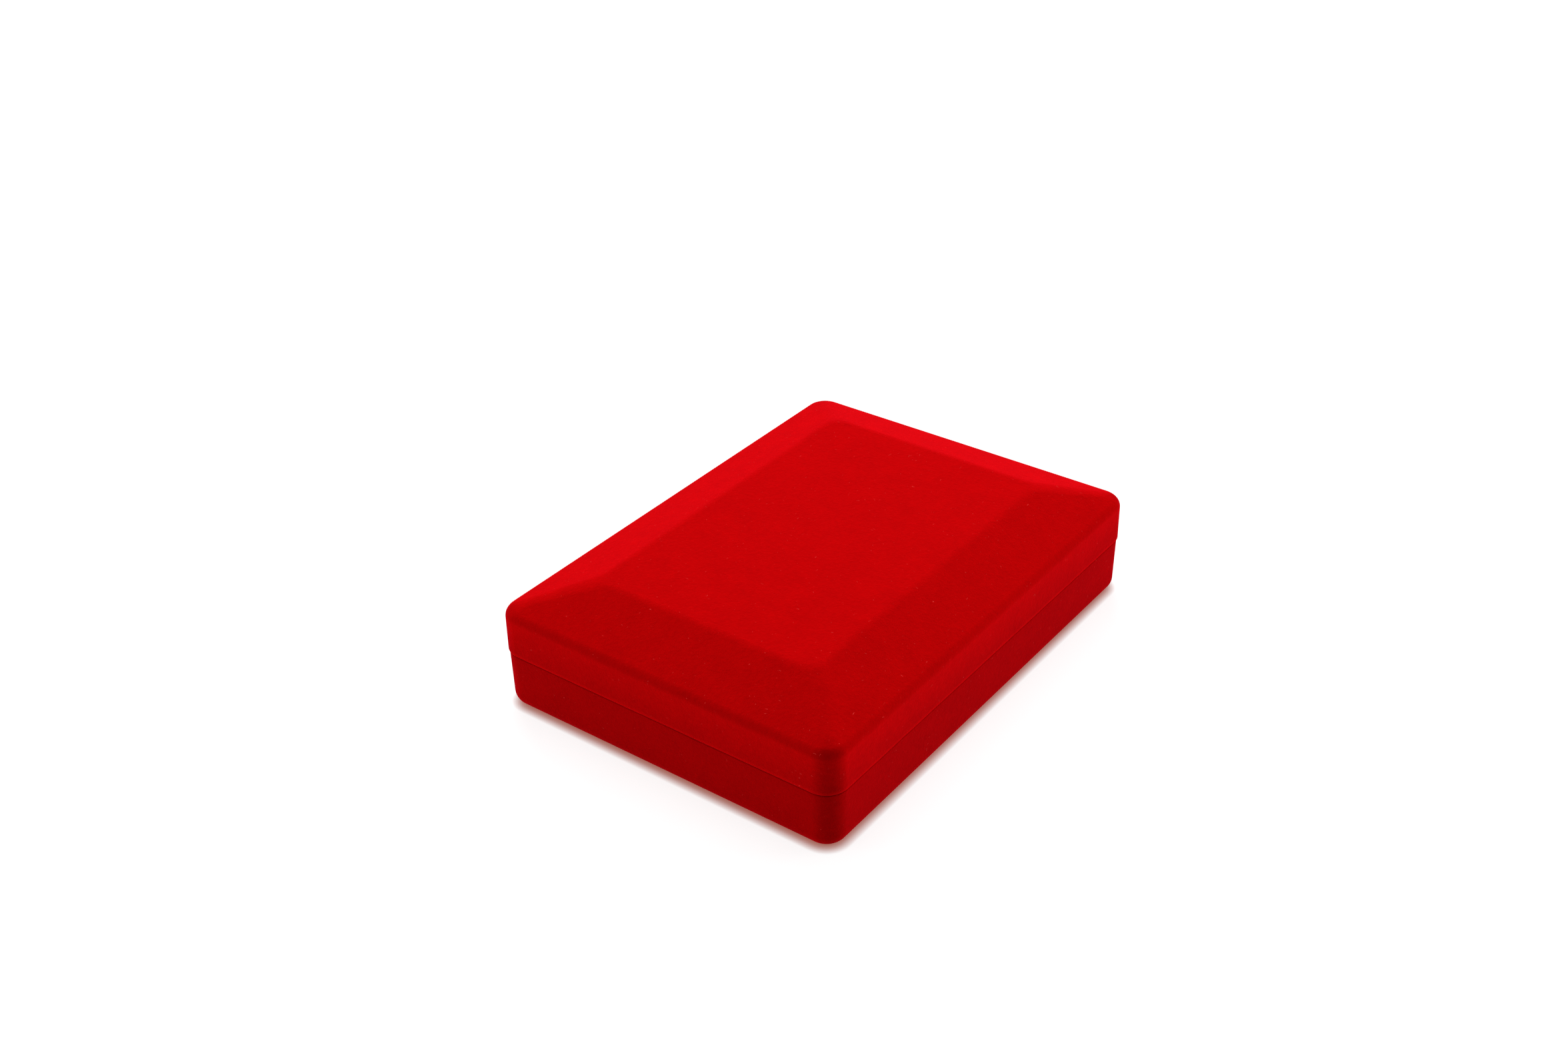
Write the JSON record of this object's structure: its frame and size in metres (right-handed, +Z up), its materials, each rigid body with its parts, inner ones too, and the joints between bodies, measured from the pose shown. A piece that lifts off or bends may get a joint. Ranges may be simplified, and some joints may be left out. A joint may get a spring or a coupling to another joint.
{
  "type": "pendant box",
  "caption": "Slim hinged keepsake box with a flocked two-part case, a bevelled raised lid panel, a padded display insert and a satin lid lining.",
  "frame": {"origin": "centre of the underside of the closed box, on the surface that it stands on", "axes": "+Z up; +Y along the box's length towards the hinge; -Y towards the front short side where the lid is lifted; +X towards the long right side"},
  "size_m": [0.07, 0.095, 0.0234],
  "materials": {
    "red_flock": "short red flock on a moulded plastic shell",
    "red_velvet": "short-pile red velvet",
    "ivory_satin": "ivory satin",
    "grey_card": "plain grey board",
    "white_foam": "soft white foam",
    "white_wadding": "loose white wadding",
    "hinge_brass": "satin, stamped and rolled sheet",
    "spring_steel": "satin"
  },
  "bodies": {
    "base": {"base_shell": "red_flock", "hinge_base_leaf": "hinge_brass", "hinge_pin": "spring_steel", "hinge_spring": "spring_steel", "spring_rivet": "hinge_brass", "pad_platform": "grey_card", "pad_foam": "white_foam", "pad_cover": "red_velvet"},
    "lid": {"lid_shell": "red_flock", "hinge_lid_leaf": "hinge_brass", "lining_card": "grey_card", "lining_wadding": "white_wadding", "lining_satin": "ivory_satin"}
  },
  "joints": [
    {"name": "lid_hinge", "type": "hinge", "parent": "base", "child": "lid", "pos_m": [0, 0.046, 0.0112], "axis": [-1, 0, 0], "range_deg": [0, 95]}
  ]
}
